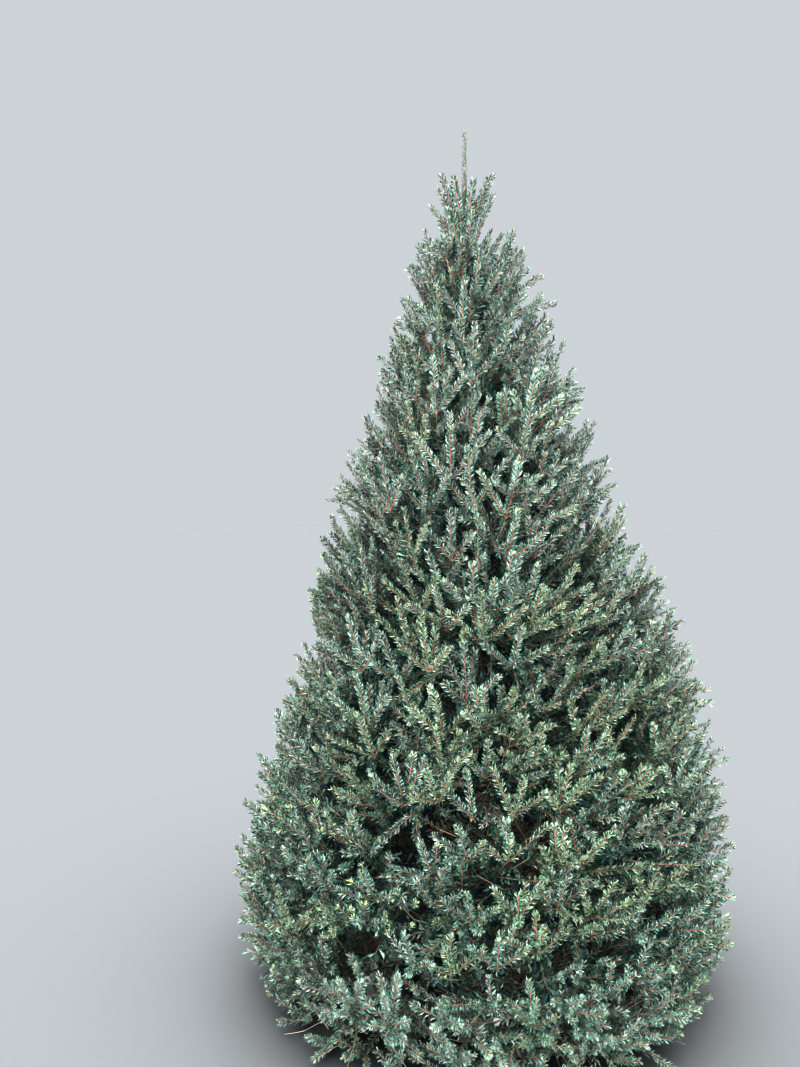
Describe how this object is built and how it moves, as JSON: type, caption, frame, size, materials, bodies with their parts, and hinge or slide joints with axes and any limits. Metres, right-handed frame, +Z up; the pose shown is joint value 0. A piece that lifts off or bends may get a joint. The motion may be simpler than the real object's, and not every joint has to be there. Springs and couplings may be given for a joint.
{
  "type": "spruce tree",
  "caption": "Young spruce rooted in the ground: a straight tapering trunk, whorls of rising boughs and a dense cone of needled twigs under an upright leader.",
  "frame": {"origin": "centre of the flat cut under the trunk, at ground level", "axes": "+Z up the trunk to the leader's tip; -Y is the side that the picture was taken from, with +X to its right"},
  "size_m": [1.6584, 1.6549, 3],
  "materials": {
    "bark": "rough, scaly grey-brown bark",
    "limb_bark": "matt brown bark",
    "needles": "waxy, slightly blue dark green",
    "shoots": "smooth orange-brown bark of this year's shoots",
    "buds": "matt brown bud scales"
  },
  "bodies": {
    "root": {"trunk": "bark", "bough_1_1": "limb_bark", "foliage_1_1": "needles", "bough_1_2": "limb_bark", "foliage_1_2": "needles", "bough_1_3": "limb_bark", "foliage_1_3": "needles", "bough_1_4": "limb_bark", "foliage_1_4": "needles", "bough_1_5": "limb_bark", "foliage_1_5": "needles", "bough_2_1": "limb_bark", "foliage_2_1": "needles", "bough_2_2": "limb_bark", "foliage_2_2": "needles", "bough_2_3": "limb_bark", "foliage_2_3": "needles", "bough_2_4": "limb_bark", "foliage_2_4": "needles", "bough_2_5": "limb_bark", "foliage_2_5": "needles", "bough_3_1": "limb_bark", "foliage_3_1": "needles", "bough_3_2": "limb_bark", "foliage_3_2": "needles", "bough_3_3": "limb_bark", "foliage_3_3": "needles", "bough_3_4": "limb_bark", "foliage_3_4": "needles", "bough_3_5": "limb_bark", "foliage_3_5": "needles", "bough_4_1": "limb_bark", "foliage_4_1": "needles", "bough_4_2": "limb_bark", "foliage_4_2": "needles", "bough_4_3": "limb_bark", "foliage_4_3": "needles", "bough_4_4": "limb_bark", "foliage_4_4": "needles", "bough_4_5": "limb_bark", "foliage_4_5": "needles", "foliage_5_1": "needles", "foliage_5_2": "needles", "foliage_5_3": "needles", "foliage_5_4": "needles", "foliage_6_1": "needles", "foliage_6_2": "needles", "foliage_6_3": "needles", "foliage_6_4": "needles", "foliage_7_1": "needles", "foliage_7_2": "needles", "foliage_7_3": "needles", "foliage_8_1": "needles", "foliage_8_2": "needles", "foliage_8_3": "needles", "foliage_9_1": "needles", "foliage_9_2": "needles", "foliage_9_3": "needles", "leader_needles": "needles"}
  },
  "joints": []
}
